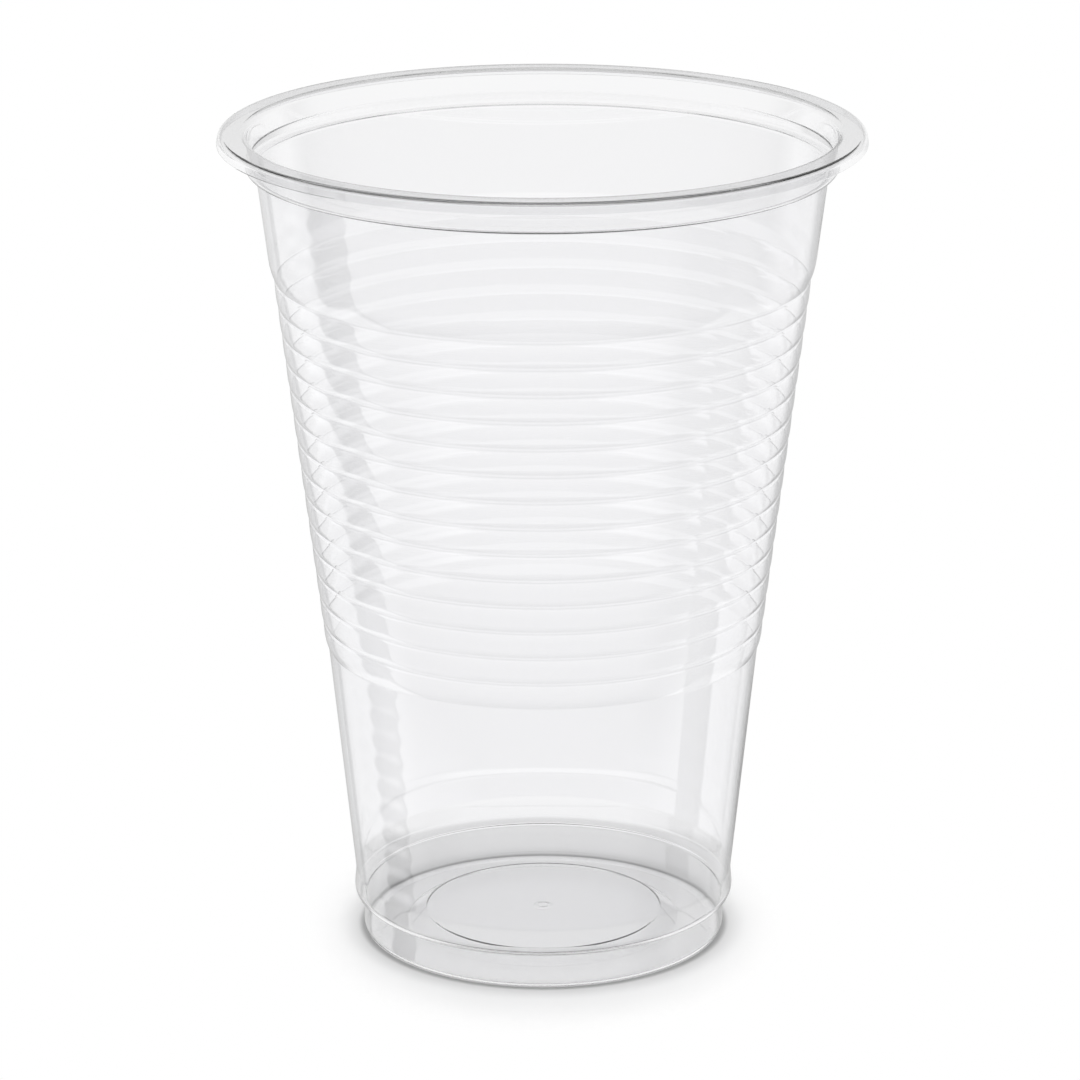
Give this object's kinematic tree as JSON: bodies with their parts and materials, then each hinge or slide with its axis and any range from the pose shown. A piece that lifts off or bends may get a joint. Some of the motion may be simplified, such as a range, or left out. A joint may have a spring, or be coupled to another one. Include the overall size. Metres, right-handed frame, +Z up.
{
  "type": "disposable cup",
  "caption": "Clear thin-walled disposable cold-drink cup: tapered ribbed wall, flat rim flange for a lid over a stacking collar, narrow stepped foot with a raised floor panel.",
  "frame": {"origin": "on the cup's axis, in the plane of the foot's standing ring", "axes": "+Z up along the cup's axis from the foot to the rim; the cup is a solid of revolution, so +X and +Y are any two level directions"},
  "size_m": [0.078, 0.078, 0.1015],
  "materials": {
    "clear_sheet": "clear colourless plastic, glossy"
  },
  "bodies": {
    "root": {"cup": "clear_sheet"}
  },
  "joints": []
}
